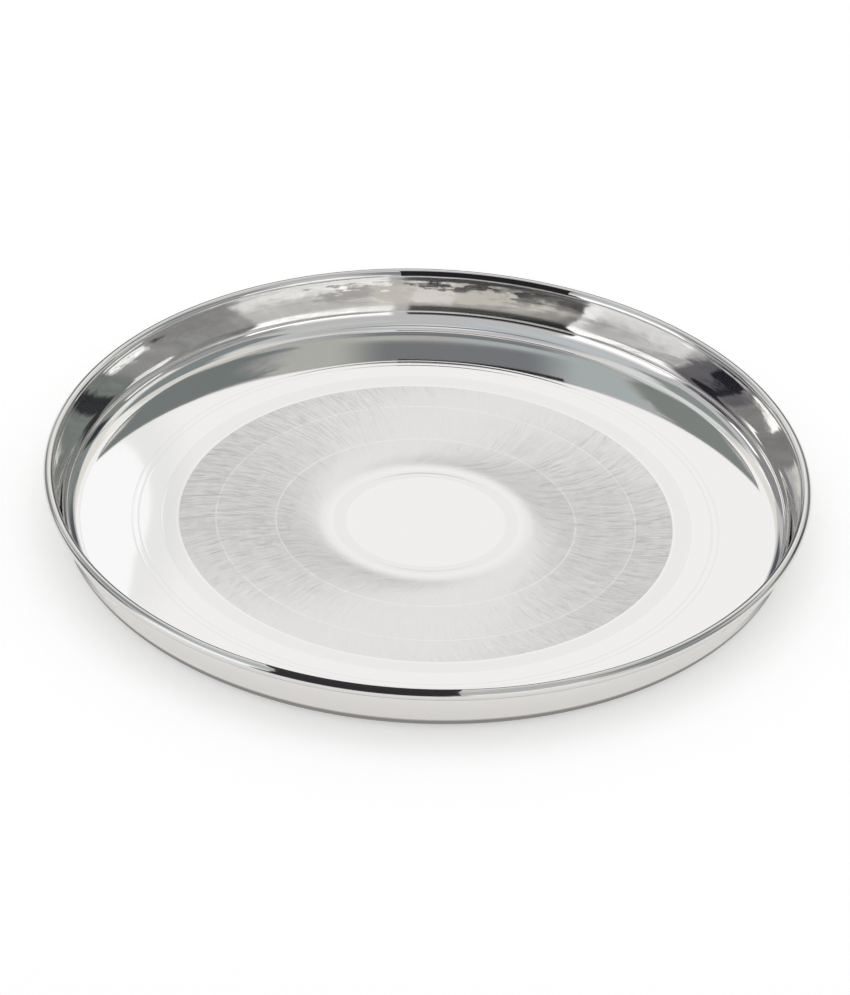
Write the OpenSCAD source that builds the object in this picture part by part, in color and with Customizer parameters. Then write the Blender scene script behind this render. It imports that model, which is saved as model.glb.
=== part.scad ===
// Thali plate: one spun sheet with a flat floor, a leaning wall and a rim rolled over a round wire.
// The origin is the middle of the underside, where the plate stands, and +Z points up.

/* [Plate] */
// Outside diameter across the rolled rim
plate_d = 300; // [200:1:380]
// Height from the table to the top of the rolled rim
plate_h = 23; // [18:0.5:45]
// Thickness of the steel sheet
sheet_t = 0.8; // [0.5:0.1:1.2]

/* [Wall] */
// Lean of the wall away from upright, in degrees
wall_lean = 13.5; // [4:0.5:30]
// Inside radius of the corner between the floor and the wall
corner_r = 8; // [4:0.5:11]

/* [Rolled rim] */
// Diameter of the wire inside the rim
wire_d = 2.6; // [1.2:0.1:3]
// Gap all round between the wire and the sheet curled over it
wire_fit = 0.05; // [0.02:0.01:0.15]
// Gap between the cut edge of the curl and the wall behind it
curl_gap = 0.15; // [0.05:0.05:0.4]

/* [Centre ring] */
// Diameter of the shallow ring pressed up around the centre, along its crest
ring_d = 66; // [40:1:120]
// Width of the flat crest of the ring
ring_crest_w = 1.2; // [0.6:0.1:4]
// Width of each slope beside the crest
ring_slope_w = 1.6; // [0.8:0.1:4]
// Height of the ring above the floor
ring_h = 0.25; // [0.1:0.05:0.8]

/* [Hidden] */
$fn = 180;
sheet_color = "silver";
wire_color = "lightslategray";

// Rolled rim: the sheet wraps round a bore that holds the wire
curl_r = wire_d / 2 + wire_fit;
roll_r = curl_r + sheet_t;
roll_x = plate_d / 2 - roll_r;
roll_z = plate_h - roll_r;

// Corner: its centre stands on the flat part of the floor, and the wall is tangent to it and to the roll
corner_z = sheet_t + corner_r;
roll_over_corner = roll_z - corner_z;
floor_r = roll_x - (corner_r + roll_r + roll_over_corner * sin(wall_lean)) / cos(wall_lean);
wall_len = (roll_x - floor_r) * sin(wall_lean) + roll_over_corner * cos(wall_lean);

// The curl stays open by this angle under the wire, where its cut edge nears the wall
curl_open = acos((curl_r - curl_gap) / roll_r);

// Centre ring, from its inner foot to its outer foot
ring_crest_in = (ring_d - ring_crest_w) / 2;
ring_crest_out = (ring_d + ring_crest_w) / 2;
ring_foot_in = ring_crest_in - ring_slope_w;
ring_foot_out = ring_crest_out + ring_slope_w;

// A wedge from angle 0 to angle sweep, at most 180 degrees, that reaches past radius r
module wedge(r, sweep) {
    polygon(concat(
        [[0, 0]],
        [for (share = [0, 1 / 3, 2 / 3, 1]) 2 * r * [cos(share * sweep), sin(share * sweep)]]
    ));
}

// The sheet's section bent all the way round a centre, with inside radius bend_r
module full_bend(bend_r) {
    difference() {
        circle(r = bend_r + sheet_t);
        circle(r = bend_r);
    }
}

// Floor: flat, with the centre ring raised on both faces of the sheet
module floor_section() {
    polygon([
        [0, 0],
        [ring_foot_in, 0],
        [ring_crest_in, ring_h],
        [ring_crest_out, ring_h],
        [ring_foot_out, 0],
        [floor_r, 0],
        [floor_r, sheet_t],
        [ring_foot_out, sheet_t],
        [ring_crest_out, sheet_t + ring_h],
        [ring_crest_in, sheet_t + ring_h],
        [ring_foot_in, sheet_t],
        [0, sheet_t],
    ]);
}

// Corner: drawn about its centre, from the end of the floor to the foot of the wall
module corner_section() {
    intersection() {
        full_bend(corner_r);
        translate([0, -2 * corner_r]) square(2 * corner_r);
        rotate(-wall_lean) translate([0, -2 * corner_r]) square(2 * corner_r);
    }
}

// Wall: a straight strip from the end of the corner
module wall_section() {
    translate([corner_r, 0]) square([sheet_t, wall_len]);
}

// Curl: drawn about the wire, from the top of the wall over the wire and back under it
module curl_section() {
    difference() {
        full_bend(curl_r);
        rotate(180) wedge(roll_r, curl_open);
    }
}

// Each stretch of the sheet is drawn in the frame where the last one ends, so their ends meet
module sheet_section() {
    floor_section();
    translate([floor_r, corner_z]) {
        corner_section();
        rotate(-wall_lean) {
            wall_section();
            translate([corner_r + roll_r, wall_len]) curl_section();
        }
    }
}

module plate_body() {
    color(sheet_color)
    rotate_extrude() sheet_section();
}

// The wire is a closed ring in the middle of the roll
module rim_wire() {
    color(wire_color)
    rotate_extrude() translate([roll_x, roll_z]) circle(d = wire_d);
}

plate_body();
rim_wire();
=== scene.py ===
import math

import bpy
from mathutils import Matrix, Vector


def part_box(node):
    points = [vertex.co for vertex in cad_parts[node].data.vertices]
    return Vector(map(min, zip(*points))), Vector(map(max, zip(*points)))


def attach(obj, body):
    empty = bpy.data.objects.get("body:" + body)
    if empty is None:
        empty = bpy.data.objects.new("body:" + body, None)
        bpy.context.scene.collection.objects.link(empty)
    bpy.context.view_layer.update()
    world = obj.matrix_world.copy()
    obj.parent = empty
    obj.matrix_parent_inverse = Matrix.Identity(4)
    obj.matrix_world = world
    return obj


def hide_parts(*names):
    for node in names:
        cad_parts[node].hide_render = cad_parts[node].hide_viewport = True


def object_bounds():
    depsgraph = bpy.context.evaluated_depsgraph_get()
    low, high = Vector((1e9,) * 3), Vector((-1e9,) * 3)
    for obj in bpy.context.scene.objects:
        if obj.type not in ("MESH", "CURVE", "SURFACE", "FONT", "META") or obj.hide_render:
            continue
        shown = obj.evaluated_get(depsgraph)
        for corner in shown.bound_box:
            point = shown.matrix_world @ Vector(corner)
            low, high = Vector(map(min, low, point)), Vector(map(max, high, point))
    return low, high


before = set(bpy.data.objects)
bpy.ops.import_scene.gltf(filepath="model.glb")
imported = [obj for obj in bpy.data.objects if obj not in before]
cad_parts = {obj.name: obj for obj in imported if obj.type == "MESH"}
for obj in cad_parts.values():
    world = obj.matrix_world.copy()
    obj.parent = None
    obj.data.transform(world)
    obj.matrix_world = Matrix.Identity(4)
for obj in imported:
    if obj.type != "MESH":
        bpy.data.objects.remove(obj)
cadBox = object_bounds()
mm = 0.001
print("frame loaded, nodes:", sorted(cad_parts))


# Shader expressions: a Value is one output socket, and arithmetic on it adds Math nodes
class Value:
    def __init__(self, graph, socket):
        self.graph = graph
        self.socket = socket

    def math(self, operation, *others):
        return self.graph.node("ShaderNodeMath", {"operation": operation}, dict(enumerate((self,) + others)))

    def flipped(self, operation, other):
        return self.graph.node("ShaderNodeMath", {"operation": operation}, {0: other, 1: self})

    def __add__(self, other):
        return self.math("ADD", other)

    def __sub__(self, other):
        return self.math("SUBTRACT", other)

    def __rsub__(self, other):
        return self.flipped("SUBTRACT", other)

    def __mul__(self, other):
        return self.math("MULTIPLY", other)

    def __truediv__(self, other):
        return self.math("DIVIDE", other)

    def __rtruediv__(self, other):
        return self.flipped("DIVIDE", other)

    def __neg__(self):
        return self.math("MULTIPLY", -1.0)

    __radd__ = __add__
    __rmul__ = __mul__


class Graph:
    def __init__(self, owner):
        owner.use_nodes = True
        self.tree = owner.node_tree
        self.tree.nodes.clear()

    # Any node: its type, its settings, its sockets' values or links, and the output or outputs wanted
    def node(self, kind, settings=None, inputs=None, output=0):
        made = self.tree.nodes.new(kind)
        for name, setting in (settings or {}).items():
            setattr(made, name, setting)
        for name, value in (inputs or {}).items():
            if isinstance(value, Value):
                self.tree.links.new(value.socket, made.inputs[name])
            else:
                made.inputs[name].default_value = value
        if isinstance(output, tuple):
            return [Value(self, made.outputs[one]) for one in output]
        return Value(self, made.outputs[output]) if made.outputs else None

    def vector(self, operation, first, second=(0.0, 0.0, 0.0)):
        return self.node("ShaderNodeVectorMath", {"operation": operation}, {0: first, 1: second})

    def scaled(self, vector, factor):
        return self.node("ShaderNodeVectorMath", {"operation": "SCALE"}, {0: vector, "Scale": factor})

    def combine(self, x, y, z):
        return self.node("ShaderNodeCombineXYZ", None, {0: x, 1: y, 2: z})

    def separate(self, vector):
        return self.node("ShaderNodeSeparateXYZ", None, {0: vector}, (0, 1, 2))

    # 0 below low, 1 above high, smooth between
    def step(self, value, low, high):
        inputs = {"Value": value, "From Min": low, "From Max": high}
        return self.node("ShaderNodeMapRange", {"interpolation_type": "SMOOTHSTEP"}, inputs)

    # 1 on a line at the place, 0 past its half width
    def line(self, value, place, halfWidth):
        return 1.0 - self.step((value - place).math("ABSOLUTE"), 0.0, halfWidth)

    # 1 between low and high, with soft ends
    def band(self, value, low, high, soft):
        return self.step(value, low - soft, low + soft) * (1.0 - self.step(value, high - soft, high + soft))

    # Noise round zero, about -0.5 to 0.5
    def noise(self, vector, scale=1.0, detail=2.0, roughness=0.5):
        inputs = {"Vector": vector, "Scale": scale, "Detail": detail, "Roughness": roughness}
        return self.node("ShaderNodeTexNoise", None, inputs, "Fac") - 0.5

    # 1 for rays that see the backdrop itself: from the camera, mirrored, or through glass
    def seenRay(self):
        rays = ("Is Camera Ray", "Is Glossy Ray", "Is Transmission Ray")
        camera, mirrored, through = self.node("ShaderNodeLightPath", None, None, rays)
        return (camera + mirrored + through).math("MINIMUM", 1.0)

    def surface(self, shader, kind="ShaderNodeOutputMaterial"):
        self.node(kind, None, {"Surface": shader})


def newMaterial(name):
    material = bpy.data.materials.new(name)
    return material, Graph(material)


# Plate sizes: the rim's roll is read from the frame's wire, and the rest follows from it
wireLow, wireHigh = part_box("rim_wire")
plateSizes = {
    "sheet": 0.8 * mm,
    "wireGap": 0.05 * mm,
    "curlGap": 0.15 * mm,
    "cornerRadius": 8.0 * mm,
    "wallLean": math.radians(13.5),
    "neckLength": 2.2 * mm,
    "neckLean": math.radians(26),
    "ringRadius": 33.0 * mm,
    "ringHalfWidth": 2.6 * mm,
    "ringHeight": 0.11 * mm,
    "aroundSteps": 480,
    "cornerSteps": 36,
    "neckSteps": 14,
    "curlSteps": 72,
    "edgeLoop": 0.12 * mm,
    "centreLoops": (10 * mm, 20 * mm),
    "floorLoops": (45 * mm, 60 * mm, 80 * mm, 100 * mm, 118 * mm, 130 * mm),
    "ringMargin": 1 * mm,
    "ringSteps": 8,
    "sharpAngle": math.radians(40),
}


def arc(centre, radius, start, end, steps):
    points = []
    for number in range(steps + 1):
        angle = start + (end - start) * number / steps
        points.append((centre[0] + radius * math.cos(angle), centre[1] + radius * math.sin(angle)))
    return points


# A stretch of floor from radius first to last at height z, with the pressed ring's smooth hump
def floorLine(sizes, first, last, z):
    middle, half, steps = sizes["ringRadius"], sizes["ringHalfWidth"], sizes["ringSteps"]
    radii = [first, *sizes["centreLoops"], middle - half - sizes["ringMargin"]]
    radii += [middle + half * (number / steps - 1) for number in range(2 * steps + 1)]
    radii += [middle + half + sizes["ringMargin"], *sizes["floorLoops"]]
    radii += [last - sizes["edgeLoop"], last]
    line = []
    for radius in radii:
        away = min(abs(radius - middle) / half, 1.0)
        line.append((radius, z + sizes["ringHeight"] * (0.5 + 0.5 * math.cos(math.pi * away))))
    return line


# The neck: the wall's inner face bends smoothly into the roll, leaning out more at the top
def neck(foot, lean, top, topLean, steps):
    handle = math.dist(foot, top) / 3
    low = Vector(foot) + handle * Vector((math.sin(lean), math.cos(lean)))
    high = Vector(top) - handle * Vector((math.sin(topLean), math.cos(topLean)))
    points = []
    for number in range(steps + 1):
        t = number / steps
        u = 1 - t
        point = u**3 * Vector(foot) + 3 * u * u * t * low + 3 * u * t * t * high + t**3 * Vector(top)
        points.append(tuple(point))
    return points


# Loops on a straight stretch of wall: close to both ends, and a few between
def wallLoops(first, last, sizes):
    ends = sizes["edgeLoop"] / math.dist(first, last)
    shares = [ends, 0.25, 0.5, 0.75, 1 - ends]
    return [(first[0] + (last[0] - first[0]) * s, first[1] + (last[1] - first[1]) * s) for s in shares]


# The sheet's closed section, from the middle of the inside floor round the curl and back under the plate
def plateSection(sizes):
    sheet, lean, neckLean = sizes["sheet"], sizes["wallLean"], sizes["neckLean"]
    wireRadius = (wireHigh.z - wireLow.z) / 2
    curlRadius = wireRadius + sizes["wireGap"]
    rollRadius = curlRadius + sheet
    halfBox = min(cadBox[1].x, cadBox[1].y, -cadBox[0].x, -cadBox[0].y)
    roll = (halfBox - rollRadius, cadBox[1].z - rollRadius)
    cornerZ = sheet + sizes["cornerRadius"]
    rise = roll[1] - cornerZ
    reach = (sizes["cornerRadius"] + rollRadius + rise * math.sin(lean)) / math.cos(lean)
    floorRadius = roll[0] - reach
    corner = (floorRadius, cornerZ)
    curlOpen = math.acos((curlRadius - sizes["curlGap"]) / rollRadius)
    curlStart = math.pi - lean
    curlEnd = curlStart + curlOpen - 2 * math.pi
    down, foot = -math.pi / 2, -lean
    points = floorLine(sizes, 0.0, floorRadius, sheet)[:-1]
    points += arc(corner, sizes["cornerRadius"], down, foot, sizes["cornerSteps"])
    wallTop = arc(roll, rollRadius, curlStart, curlStart, 1)[0]
    share = 1 - sizes["neckLength"] / math.dist(points[-1], wallTop)
    neckFoot = tuple(a + (b - a) * share for a, b in zip(points[-1], wallTop))
    neckTop = arc(roll, rollRadius, math.pi - neckLean, math.pi - neckLean, 1)[0]
    points += wallLoops(points[-1], neckFoot, sizes)
    points += neck(neckFoot, lean, neckTop, neckLean, sizes["neckSteps"])[:-1]
    points += arc(roll, rollRadius, math.pi - neckLean, curlEnd, sizes["curlSteps"])
    insideCurl = arc(roll, curlRadius, curlEnd, curlStart, sizes["curlSteps"])
    outsideCorner = arc(corner, sizes["cornerRadius"] + sheet, foot, down, sizes["cornerSteps"])
    points += insideCurl
    points += wallLoops(insideCurl[-1], outsideCorner[0], sizes)
    points += outsideCorner
    points += floorLine(sizes, 0.0, floorRadius, 0.0)[-2::-1]
    return points


# Turns a section round Z. It starts and ends on the axis, so the mesh is closed.
def lathe(name, section, sizes, material):
    steps = sizes["aroundSteps"]
    vertices, faces, rings = [], [], []
    for radius, z in section:
        if radius < 1e-7:
            rings.append([len(vertices)] * steps)
            vertices.append((0.0, 0.0, z))
            continue
        first = len(vertices)
        rings.append(list(range(first, first + steps)))
        for number in range(steps):
            angle = 2 * math.pi * number / steps
            vertices.append((radius * math.cos(angle), radius * math.sin(angle), z))
    for lower, upper in zip(rings, rings[1:]):
        for number in range(steps):
            following = (number + 1) % steps
            loop = [lower[number], lower[following], upper[following], upper[number]]
            faces.append([v for spot, v in enumerate(loop) if v != loop[spot - 1]])
    mesh = bpy.data.meshes.new(name)
    mesh.from_pydata(vertices, [], faces)
    mesh.validate()
    mesh.polygons.foreach_set("use_smooth", [True] * len(mesh.polygons))
    mesh.set_sharp_from_angle(angle=sizes["sharpAngle"])
    mesh.materials.append(material)
    made = bpy.data.objects.new(name, mesh)
    bpy.context.scene.collection.objects.link(made)
    return made


# Steel of the plate. Lengths are in millimetres here, and slopes are tangents of the surface's tilt.
steelLook = {
    "steel": (0.80, 0.783, 0.76),
    "insideFrom": (0.4, 0.6),
    "rimFrom": (146.0, 147.0),
    "wallFrom": (134.0, 139.0),
    "polishRough": 0.05,
    "brushRough": 0.14,
    # Darker outside colour: partly a duller outside finish, partly painted shade for its mirror image of the
    # table
    "outsideShade": 0.87,
    "outsideRough": 0.12,
    "brushInner": (35.0, 44.0),
    "brushOuter": (96.3, 96.9),
    "brushShade": 0.89,
    "fineSlope": 0.98,
    "fineWidth": 0.03,
    "fineLength": 10.0,
    "lighterAlongY": 0.18,
    "strokeSlope": 0.11,
    "strokeWidth": 1.3,
    "strokeLength": 26.0,
    "swirl": 0.163,
    "swirlStart": 43.0,
    "swirlFall": 5.0,
    "sweep": 0.00006,
    "sweepStraight": 65.0,
    "polishedRings": (58.6, 82.0),
    "ringWidth": 0.5,
    "ringPolish": 0.32,
    "turnedRings": (103.5, 112.0, 114.5),
    "turnedSlope": 0.02,
    "grazing": (0.74, 0.87),
    "wallWave": 0.03,
    "wallRipple": 0.045,
    "wallSpin": 0.02,
    "wallTop": 0.014,
    "wallMiddle": 0.010,
    "footTuck": 0.015,
    "wallTwist": 0.012,
    "sideCurve": 0.003,
    "turnedBand": (97.5, 103.0),
    "turnedShade": 0.95,
    "centreBand": (31.2, 36.3),
    "centreShade": 0.95,
    # Painted shade: how much darker the colour is drawn along each turned groove
    "grooveShade": 0.05,
    "grain": 0.06,
    "roughSpread": 0.02,
}


def plateSteel(look):
    material, g = newMaterial("plateSteel")
    place = g.scaled(g.node("ShaderNodeTexCoord", None, None, "Object"), 1 / mm)
    x, y, z = g.separate(place)
    r = (x * x + y * y).math("SQRT")
    safeR = r.math("MAXIMUM", 0.5)
    outward = g.combine(x / safeR, y / safeR, 0.0)
    around = g.combine(-y / safeR, x / safeR, 0.0)
    inside = g.step(z, *look["insideFrom"]) * (1.0 - g.step(r, *look["rimFrom"]))
    wall = g.step(r, *look["wallFrom"])

    # The brushed band ends on turned rings, and thin turned rings inside it stay polished
    brushed = g.step(r, *look["brushInner"]) * (1.0 - g.step(r, *look["brushOuter"])) * inside
    for radius in look["polishedRings"]:
        brushed = brushed * (1.0 - look["ringPolish"] * g.line(r, radius, look["ringWidth"]))

    # Strokes leave the centre nearly sideways, turn radial, and lean the other way further out
    early = ((look["swirlStart"] - r) / look["swirlFall"]).math("EXPONENT") * look["swirl"]
    late = r - look["sweepStraight"]
    swirl = early + late * late * look["sweep"]
    swirlRate = late * (2 * look["sweep"]) - early / look["swirlFall"]
    lean = (r * swirlRate).math("ARCTANGENT")
    turn = swirl.math("COSINE"), swirl.math("SINE")
    strokeX = (x * turn[0] + y * turn[1]) / safeR
    strokeY = (y * turn[0] - x * turn[1]) / safeR
    middle = (look["brushInner"][0] + look["brushOuter"][0]) / 2

    def strokes(width, length, detail, shift):
        spot = g.combine(strokeX * (middle / width), strokeY * (middle / width), r / length + shift)
        return g.noise(spot, 1.0, detail, 0.6)

    slope = strokes(look["fineWidth"], look["fineLength"], 1.0, 0.0) * look["fineSlope"]
    slope = slope + strokes(look["strokeWidth"], look["strokeLength"], 2.0, 7.0) * look["strokeSlope"]
    # Seen at a grazing angle, brushed steel mirrors as if polished
    facing = g.node("ShaderNodeLayerWeight", None, {"Blend": 0.5}, "Facing")
    slope = slope * brushed * (1.0 - g.step(facing, *look["grazing"]))
    # The brush pressed lighter where its strokes run along Y
    cosine, sine = lean.math("COSINE"), lean.math("SINE")
    strokeAlongY = (y * cosine + x * sine) / safeR
    slope = slope * (1.0 - strokeAlongY * strokeAlongY * look["lighterAlongY"])
    slopeAround = slope * cosine
    slopeAlong = -slope * sine

    # Turned rings in the polished part: each is a shallow groove
    for radius in look["turnedRings"]:
        groove = g.line(r, radius - 0.4, 0.5) - g.line(r, radius + 0.4, 0.5)
        slopeAlong = slopeAlong + groove * inside * look["turnedSlope"]

    # Spinning leaves the wall slightly wavy, its top and foot more upright than its middle
    uneven = g.step(z, 8.6, 15.0) * inside
    wave = g.noise(g.combine(x, y, z * 2.5), 0.16, 2.0) * look["wallWave"]
    ripple = g.noise(g.combine(x * 0.4, y * 0.4, z), 0.32, 4.0, 0.6) * look["wallRipple"]
    spin = g.noise(g.combine(x * 0.04, y * 0.04, z * 1.6), 1.0, 3.0) * look["wallSpin"]
    bend = g.band(z, 9.4, 14.5, 0.6) * look["wallMiddle"] - g.step(z, 15.0, 18.0) * look["wallTop"]
    curve = (13.5 - z) * (x * x / (safeR * safeR)) * g.band(z, 9.4, 20.0, 0.6) * wall
    bend = bend + curve * look["sideCurve"]
    foot = g.band(z, 7.0, 8.8, 0.4) * inside * wall
    slopeAlong = slopeAlong + (wave + ripple + spin) * uneven + bend * inside - foot * look["footTuck"]
    sideways = g.noise(place, 0.11, 1.0) * look["wallWave"] + ripple
    twist = (z - 14.0) * (-x / safeR) * g.band(z, 7.5, 21.0, 0.8) * inside * wall
    slopeAround = slopeAround + sideways * uneven + twist * look["wallTwist"]

    flat = g.node("ShaderNodeTexCoord", None, None, "Normal")
    along = g.vector("CROSS_PRODUCT", around, flat)
    tilted = g.vector("ADD", flat, g.scaled(around, slopeAround))
    tilted = g.vector("ADD", tilted, g.scaled(along, slopeAlong))
    toWorld = {"vector_type": "NORMAL", "convert_from": "OBJECT", "convert_to": "WORLD"}
    normal = g.node("ShaderNodeVectorTransform", toWorld, {0: g.vector("NORMALIZE", tilted)})

    # The outside's colour is darker: partly a duller outside finish, partly painted shade that darkens the
    # table it mirrors
    shade = 1.0 - brushed * (1.0 - look["brushShade"]) - (1.0 - inside) * (1.0 - look["outsideShade"])
    grain = g.noise(g.combine(strokeX * 90.0, strokeY * 90.0, r / 14.0), 1.0, 3.0, 0.65)
    shade = shade + grain * brushed * look["grain"]
    turned = g.band(r, *look["turnedBand"], 0.6) * inside
    shade = shade * (1.0 - turned * (1.0 - look["turnedShade"]))
    centre = g.band(r, *look["centreBand"], 0.7) * inside
    shade = shade * (1.0 - centre * (1.0 - look["centreShade"]))
    # Painted shade: each turned groove is also drawn as a thin darker line in the colour
    for radius in look["turnedRings"]:
        shade = shade * (1.0 - g.line(r, radius, 0.8) * inside * look["grooveShade"])
    color = g.scaled(g.combine(*look["steel"]), shade)
    rough = look["polishRough"] + brushed * (look["brushRough"] - look["polishRough"])
    rough = rough + (1.0 - inside) * (look["outsideRough"] - look["polishRough"])
    rough = rough + g.noise(place, 0.35, 3.0) * look["roughSpread"]
    inputs = {"Base Color": color, "Metallic": 1.0, "Roughness": rough, "Normal": normal}
    g.surface(g.node("ShaderNodeBsdfPrincipled", None, inputs))
    return material


wireLook = {"tone": 0.5, "roughness": 0.35, "toneSpread": 0.08, "roughSpread": 0.15, "grainScale": 900.0}


def wireSteel(look):
    material, g = newMaterial("wireSteel")
    place = g.node("ShaderNodeTexCoord", None, None, "Object")
    grain = g.noise(place, look["grainScale"], 3.0)
    tone = look["tone"] + grain * look["toneSpread"]
    rough = look["roughness"] + grain * look["roughSpread"]
    inputs = {"Base Color": g.combine(tone, tone, tone), "Metallic": 1.0, "Roughness": rough}
    g.surface(g.node("ShaderNodeBsdfPrincipled", None, inputs))
    return material


print("making the plate")
plate = lathe("plate_sheet", plateSection(plateSizes), plateSizes, plateSteel(steelLook))
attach(plate, "root")
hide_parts("plate_body")

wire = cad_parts["rim_wire"]
wire.data.materials.clear()
wire.data.materials.append(wireSteel(wireLook))

print("making the studio")
# Studio cards: curved patches round the plate, seen only by the metal. Angles are in degrees:
# turn 0 is the camera's side and 90 the right, and rise is above the table.
tent = {"radius": 1.6, "spacing": 0.015, "riseSteps": 26, "turnStep": 2}
patches = {"size": 0.07, "depth": 0.9, "top": 42}
cards = {
    "room": {"turn": (-180, 180), "rise": (-14, 91), "light": (0.60, 0.61, 0.63), "soft": (4, 4, 0)},
    "backPanel": {"turn": (118, 222), "rise": (25, 46), "light": (0.88, 0.88, 0.84), "soft": (6, 3, 5)},
    "backMiddle": {"turn": (164, 196), "rise": (25, 46), "light": (1.09, 1.09, 1.11), "soft": (6, 3, 7)},
    "backUpper": {"turn": (110, 250), "rise": (43, 70), "light": (0.80, 0.80, 0.77), "soft": (10, 4, 6)},
    "backCool": {"turn": (186, 250), "rise": (44, 68), "light": (0.79, 0.83, 0.85), "soft": (10, 4, 6)},
    "tipPanel": {"turn": (142, 170), "rise": (38, 47), "light": (1.02, 1.03, 1.01), "soft": (4, 3, 3)},
    "backLow": {"turn": (138, 206), "rise": (-14, 24), "light": (0.10, 0.11, 0.13), "soft": (5, 1, 4)},
    "topPanel": {"turn": (-180, 180), "rise": (68, 91), "light": (0.56, 0.58, 0.61), "soft": (5, 5, 0)},
    "ceiling": {"turn": (-180, 180), "rise": (77, 91), "light": (0.95, 0.96, 0.98), "soft": (5, 6, 0)},
    "greenLeft": {"turn": (8, 78), "rise": (48, 68), "light": (0.62, 0.66, 0.63), "soft": (12, 4, 4)},
    "coolRight": {"turn": (-100, -8), "rise": (48, 68), "light": (0.57, 0.65, 0.69), "soft": (12, 4, 4)},
    "darkRight": {"turn": (62, 146), "rise": (38, 62), "light": (0.25, 0.29, 0.30), "soft": (6, 4, 5)},
    "darkLeft": {"turn": (-148, -92), "rise": (38, 60), "light": (0.30, 0.34, 0.34), "soft": (8, 3, 5)},
    "rightWall": {"turn": (48, 140), "rise": (-14, 40), "light": (0.37, 0.38, 0.39), "soft": (6, 2, 8)},
    "rightHigh": {"turn": (92, 138), "rise": (27, 39), "light": (0.95, 0.95, 0.92), "soft": (6, 3, 3)},
    "leftWindow": {
        "turn": (-84, -40), "rise": (-14, 44),
        "light": (1.45, 1.48, 1.52), "soft": (5, 1, 28)},
    "leftBar": {
        "turn": (-88, -46), "rise": (9.5, 13.0), "climb": -4.8,
        "light": (0.58, 0.59, 0.62), "soft": (4, 1, 0.5)},
    "leftLine": {
        "turn": (-90, -48), "rise": (12.8, 14.0), "climb": -4.8,
        "light": (0.08, 0.08, 0.10), "soft": (4, 0.3, 0.3)},
    "rightWindow": {
        "turn": (12, 47), "rise": (-14, 30),
        "light": (1.38, 1.40, 1.42), "soft": (3, 1, 20)},
    "rightBar": {
        "turn": (14, 62), "rise": (1.8, 6.6), "climb": 3.4,
        "light": (0.36, 0.38, 0.38), "soft": (4, 1.5, 0.6)},
    "sideWindow": {
        "turn": (40, 62), "rise": (7.8, 16), "climb": 2.2,
        "light": (1.5, 1.52, 1.55), "soft": (3, 0.6, 2)},
    "darkRoom": {"turn": (-45, 9), "rise": (-14, 24), "light": (0.03, 0.03, 0.035), "soft": (1, 1, 12)},
    "leftMid": {"turn": (-150, -104), "rise": (4, 32), "light": (0.30, 0.30, 0.31), "soft": (5, 3, 5)},
    "leftDark": {"turn": (-114, -84), "rise": (-14, 20), "light": (0.16, 0.16, 0.18), "soft": (3, 1, 3)},
    "leftBlack": {
        "turn": (-107, -92), "rise": (13.5, 20),
        "light": (0.02, 0.02, 0.03), "soft": (2, 1, 1.5)},
    "leftGap": {
        "turn": (-129, -110), "rise": (19.8, 27),
        "light": (1.45, 1.5, 1.52), "soft": (1.5, 1, 3)},
    "rightDark": {
        "turn": (106, 160), "rise": (-14, 29),
        "light": (0.25, 0.28, 0.275), "soft": (8, 1, 3)},
    "rightCore": {"turn": (121, 137), "rise": (10, 27), "light": (0.04, 0.045, 0.05), "soft": (4, 3, 3)},
    "rightGap": {
        "turn": (93, 113), "rise": (14.8, 18.6), "climb": 3.6,
        "light": (1.45, 1.5, 1.55), "soft": (2, 0.6, 1)},
    "rightBlack": {
        "turn": (60, 92), "rise": (11.2, 13.2), "climb": 4.6,
        "light": (0.03, 0.03, 0.035), "soft": (2, 0.4, 0.4)},
}

# Cards close to the plate, which aren't part of it: each is a line of corners (radius, z) in mm turned
# round Z, seen on the line's right only. The black ones make the short strips on the rim, the grey one the
# dark middle of the wall's mirror image in the floor. contactShade is a painted contact shadow: a dark ring
# on the table round the foot, which the outer wall mirrors as its dark foot line.
# Reach is how near in mm a mirror has to be to show the card.
nearCards = {
    "backStrip": {
        "turn": (158.9, 185.5), "line": ((144.5, 21.2), (148.5, 44.0)),
        "light": (0.02, 0.02, 0.025), "soft": (0, 0, 0)},
    "frontStrip": {
        "turn": (-24.0, 6.6), "line": ((143.5, 22.4), (143.5, 40.0), (160.0, 40.0), (160.0, 24.8)),
        "light": (0.035, 0.035, 0.04), "soft": (0, 0, 0), "reach": 24.0},
    "greyMiddle": {
        "turn": (158.0, 195.0), "line": ((135.0, 20.0), (135.0, 70.0)),
        "light": (0.26, 0.28, 0.31), "soft": (9, 7, 0)},
    # Painted contact shadow: a dark ring on the table, seen only in the outer wall's mirror
    "contactShade": {
        "turn": (-180, 180), "line": ((145.2, 0.05), (136.5, 0.05)),
        "light": (0.28, 0.275, 0.27), "soft": (0, 3, 0)},
}


# Links a studio piece. Hidden ones are seen in mirrors only.
def studioPiece(name, mesh, hidden):
    made = bpy.data.objects.new(name, mesh)
    bpy.context.scene.collection.objects.link(made)
    if hidden:
        made.visible_camera = False
        made.visible_diffuse = False
        made.visible_shadow = False
        made.visible_transmission = False
    return made


# Glow where cover is 1, clear where it is 0
def glowingCard(g, light, cover):
    glow = g.node("ShaderNodeEmission", None, {"Color": light, "Strength": 1.0})
    clear = g.node("ShaderNodeBsdfTransparent")
    g.surface(g.node("ShaderNodeMixShader", None, {0: cover, 1: clear, 2: glow}))


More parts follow.
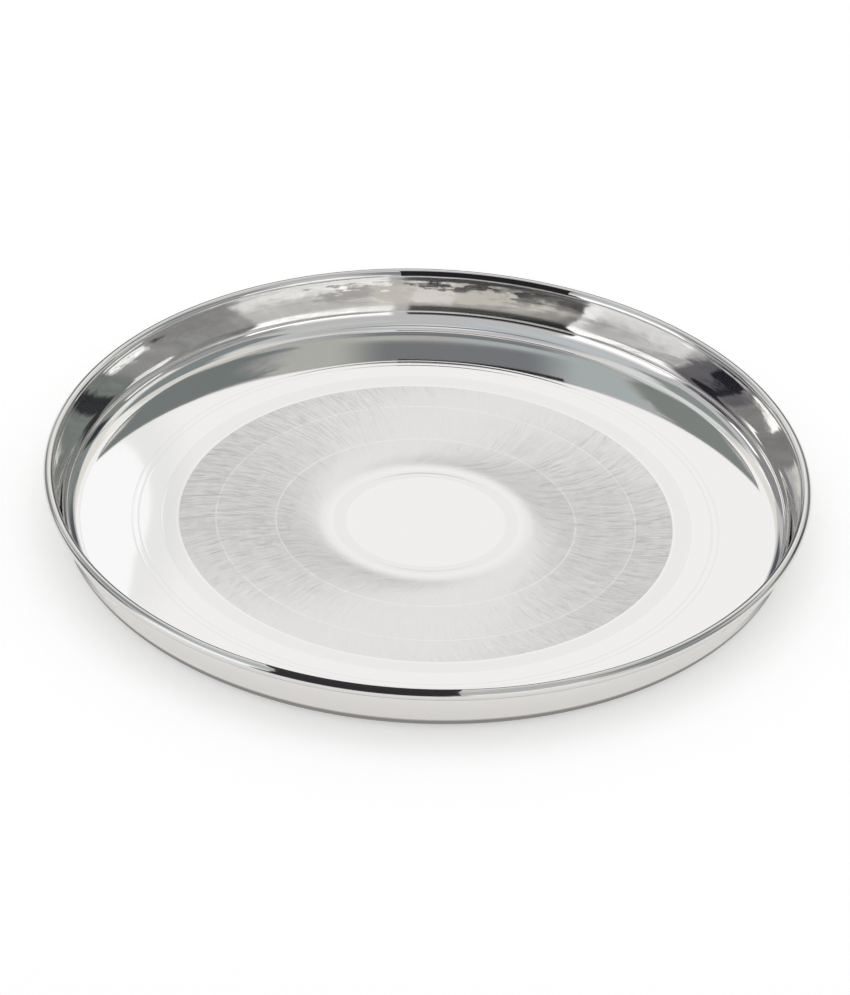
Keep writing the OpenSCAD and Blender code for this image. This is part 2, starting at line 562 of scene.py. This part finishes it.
# A card glows, and its edges fade to clear: soft is how far at its two sides, at its foot and at its top
def cardMaterial(name, look, across, along, near):
    material, g = newMaterial(name)
    u, v, _ = g.separate(g.node("ShaderNodeTexCoord", None, None, "UV"))
    sides, foot, top = look["soft"]
    cover = 1.0 - g.node("ShaderNodeNewGeometry", None, None, "Backfacing") if near else 1.0
    if foot:
        cover = g.step(v, 0.0, foot / along) * cover
    if top:
        cover = g.step(1.0 - v, 0.0, top / along) * cover
    if sides and across < 359:
        cover = g.step(u, 0.0, sides / across) * g.step(1.0 - u, 0.0, sides / across) * cover
    if "reach" in look:
        length = g.node("ShaderNodeLightPath", None, None, "Ray Length")
        cover = cover * (1.0 - g.step(length, look["reach"] * mm, (look["reach"] + 1.0) * mm))
    light = look["light"] + (1.0,)
    if not near and look["rise"][1] < patches["top"]:
        place = g.node("ShaderNodeTexCoord", None, None, "Object")
        uneven = g.noise(place, 1 / patches["size"], 4.0, 0.6) * patches["depth"]
        light = g.scaled(look["light"], 1.0 + uneven)
    glowingCard(g, light, cover)
    return material


# A line of corners (radius, z) turned round Z, and raised by climb degrees on the way
def turnedCard(name, look, line, near):
    first, last = look["turn"]
    steps = int((last - first) / tent["turnStep"]) + 1
    lengths = [0.0]
    for one, other in zip(line, line[1:]):
        lengths.append(lengths[-1] + math.dist(one, other))
    vertices, faces, spots = [], [], []
    for number in range(steps + 1):
        turn = math.radians(first + (last - first) * number / steps)
        raised = Matrix.Rotation(math.radians(look.get("climb", 0.0) * number / steps), 2)
        for corner, length in zip(line, lengths):
            radius, z = raised @ Vector(corner)
            vertices.append((radius * math.sin(turn), -radius * math.cos(turn), z))
            spots.append((number / steps, length / lengths[-1]))
    for number in range(steps):
        for corner in range(len(line) - 1):
            low = number * len(line) + corner
            faces.append((low, low + len(line), low + len(line) + 1, low + 1))
    mesh = bpy.data.meshes.new(name)
    mesh.from_pydata(vertices, [], faces)
    uvs = mesh.uv_layers.new(name="cover")
    for loop in mesh.loops:
        uvs.data[loop.index].uv = spots[loop.vertex_index]
    along = lengths[-1] / mm if near else look["rise"][1] - look["rise"][0]
    mesh.materials.append(cardMaterial(name, look, last - first, along, near))
    return studioPiece(name, mesh, True)


for number, (name, look) in enumerate(cards.items()):
    low, high = (math.radians(rise) for rise in look["rise"])
    line = arc((0.0, 0.0), tent["radius"] - tent["spacing"] * number, low, high, tent["riseSteps"])
    turnedCard(name, look, line, False)
for name, look in nearCards.items():
    turnedCard(name, look, [(radius * mm, z * mm) for radius, z in look["line"]], True)

# Oval cards, seen in the left of the floor as a bright spot with a dimmer ground round it. Each stands on
# the way that the photo camera's sight takes from a spot (in mm) on the floor. Half is its half size in mm.
cameraRise, cameraDistance = math.radians(33.739), 5.0
ovals = {
    "brightOval": {
        "spot": (-122.5, 0.0), "away": 0.40, "half": (17.0, 29.0),
        "light": (1.16, 1.19, 1.22), "soft": 0.1},
    "tailOval": {
        "spot": (-123.5, -36.0), "away": 0.39, "half": (12.5, 30.0),
        "light": (1.16, 1.19, 1.22), "soft": 0.1},
    "dimOval": {
        "spot": (-118.0, 0.0), "away": 0.42, "half": (36.0, 62.0),
        "light": (0.98, 1.0, 1.01), "soft": 0.5},
}


def ovalCard(name, look):
    material, g = newMaterial(name)
    x, y, z = g.separate(g.node("ShaderNodeTexCoord", None, None, "Object"))
    halfX, halfY = (half * mm for half in look["half"])
    away = (x * x * (1 / halfX**2) + y * y * (1 / halfY**2)).math("SQRT")
    cover = 1.0 - g.step(away, 1.0 - look["soft"], 1.0)
    glowingCard(g, look["light"] + (1.0,), cover)
    mesh = bpy.data.meshes.new(name)
    corners = [(-halfX, -halfY, 0.0), (halfX, -halfY, 0.0), (halfX, halfY, 0.0), (-halfX, halfY, 0.0)]
    mesh.from_pydata(corners, [], [(0, 1, 2, 3)])
    mesh.materials.append(material)
    made = studioPiece(name, mesh, True)
    spot = Vector((look["spot"][0] * mm, look["spot"][1] * mm, 0.0))
    eye = Vector((0.0, -math.cos(cameraRise), math.sin(cameraRise))) * cameraDistance
    sight = (spot - eye).normalized() * Vector((1.0, 1.0, -1.0))
    made.location = spot + sight * look["away"]
    made.rotation_euler = (-sight).to_track_quat("Z", "Y").to_euler()
    return made


for name, look in ovals.items():
    ovalCard(name, look)

floorLook = {"size": 6.0, "drop": 0.15 * mm, "tone": (0.8, 0.8, 0.8, 1.0), "glow": 0.4}


# The table is seen from above only
def floorMaterial(look):
    material, g = newMaterial("studioTable")
    paint = g.node("ShaderNodeBsdfDiffuse", None, {"Color": look["tone"]})
    glow = g.node("ShaderNodeEmission", None, {"Strength": g.seenRay() * look["glow"]})
    lit = g.node("ShaderNodeAddShader", None, {0: paint, 1: glow})
    clear = g.node("ShaderNodeBsdfTransparent")
    under = g.node("ShaderNodeNewGeometry", None, None, "Backfacing")
    g.surface(g.node("ShaderNodeMixShader", None, {0: under, 1: lit, 2: clear}))
    return material


def table(look):
    half = look["size"] / 2
    corners = [(-half, -half), (half, -half), (half, half), (-half, half)]
    mesh = bpy.data.meshes.new("studioTable")
    mesh.from_pydata([(x, y, -look["drop"]) for x, y in corners], [], [(0, 1, 2, 3)])
    mesh.materials.append(floorMaterial(look))
    return studioPiece("studioTable", mesh, False)


table(floorLook)

worldLook = {"seen": 1.0, "fill": 0.63}


def studioWorld(look):
    world = bpy.data.worlds.new("studioWorld")
    bpy.context.scene.world = world
    g = Graph(world)
    strength = look["fill"] + g.seenRay() * (look["seen"] - look["fill"])
    inputs = {"Color": (1.0, 1.0, 1.0, 1.0), "Strength": strength}
    g.surface(g.node("ShaderNodeBackground", None, inputs), "ShaderNodeOutputWorld")


studioWorld(worldLook)

lampLook = {"size": 1.6, "power": 4.0, "place": (0.0, 0.3, 1.5)}


def softLamp(look):
    data = bpy.data.lights.new("softLamp", "AREA")
    data.shape = "DISK"
    data.size = look["size"]
    data.energy = look["power"]
    made = bpy.data.objects.new("softLamp", data)
    bpy.context.scene.collection.objects.link(made)
    made.location = look["place"]
    made.rotation_euler = (-Vector(look["place"])).to_track_quat("-Z", "Y").to_euler()
    made.visible_camera = False
    made.visible_glossy = False
    return made


softLamp(lampLook)

# Camera at the photo's view: the plate's middle falls on middlePixel of an 850 x 995 picture
print("placing the camera")
cameraLook = {
    "elevation": cameraRise,
    "roll": math.radians(2.459),
    "distance": cameraDistance,
    "pixelsPerMetre": 2558.8,
    "middlePixel": (425.7, 523.6),
    "picture": (850, 995),
    "sensor": 36.0,
}


def photoCamera(look):
    rise, roll = look["elevation"], look["roll"]
    back = Vector((0.0, -math.cos(rise), math.sin(rise)))
    level = Vector((1.0, 0.0, 0.0))
    upright = Vector((0.0, math.sin(rise), math.cos(rise)))
    right = level * math.cos(roll) + upright * math.sin(roll)
    up = upright * math.cos(roll) - level * math.sin(roll)
    width, height = look["picture"]
    aside = (width / 2 - look["middlePixel"][0]) / look["pixelsPerMetre"]
    above = (look["middlePixel"][1] - height / 2) / look["pixelsPerMetre"]
    data = bpy.data.cameras.new("photoCamera")
    data.sensor_width = look["sensor"]
    data.lens = look["pixelsPerMetre"] * look["distance"] * look["sensor"] / max(width, height)
    data.clip_start, data.clip_end = 0.1, 100.0
    made = bpy.data.objects.new("photoCamera", data)
    bpy.context.scene.collection.objects.link(made)
    place = back * look["distance"] + right * aside + up * above
    made.matrix_world = Matrix.Translation(place) @ Matrix((right, up, back)).transposed().to_4x4()
    bpy.context.scene.camera = made
    return made


photoCamera(cameraLook)
bpy.context.scene.view_settings.view_transform = "Standard"
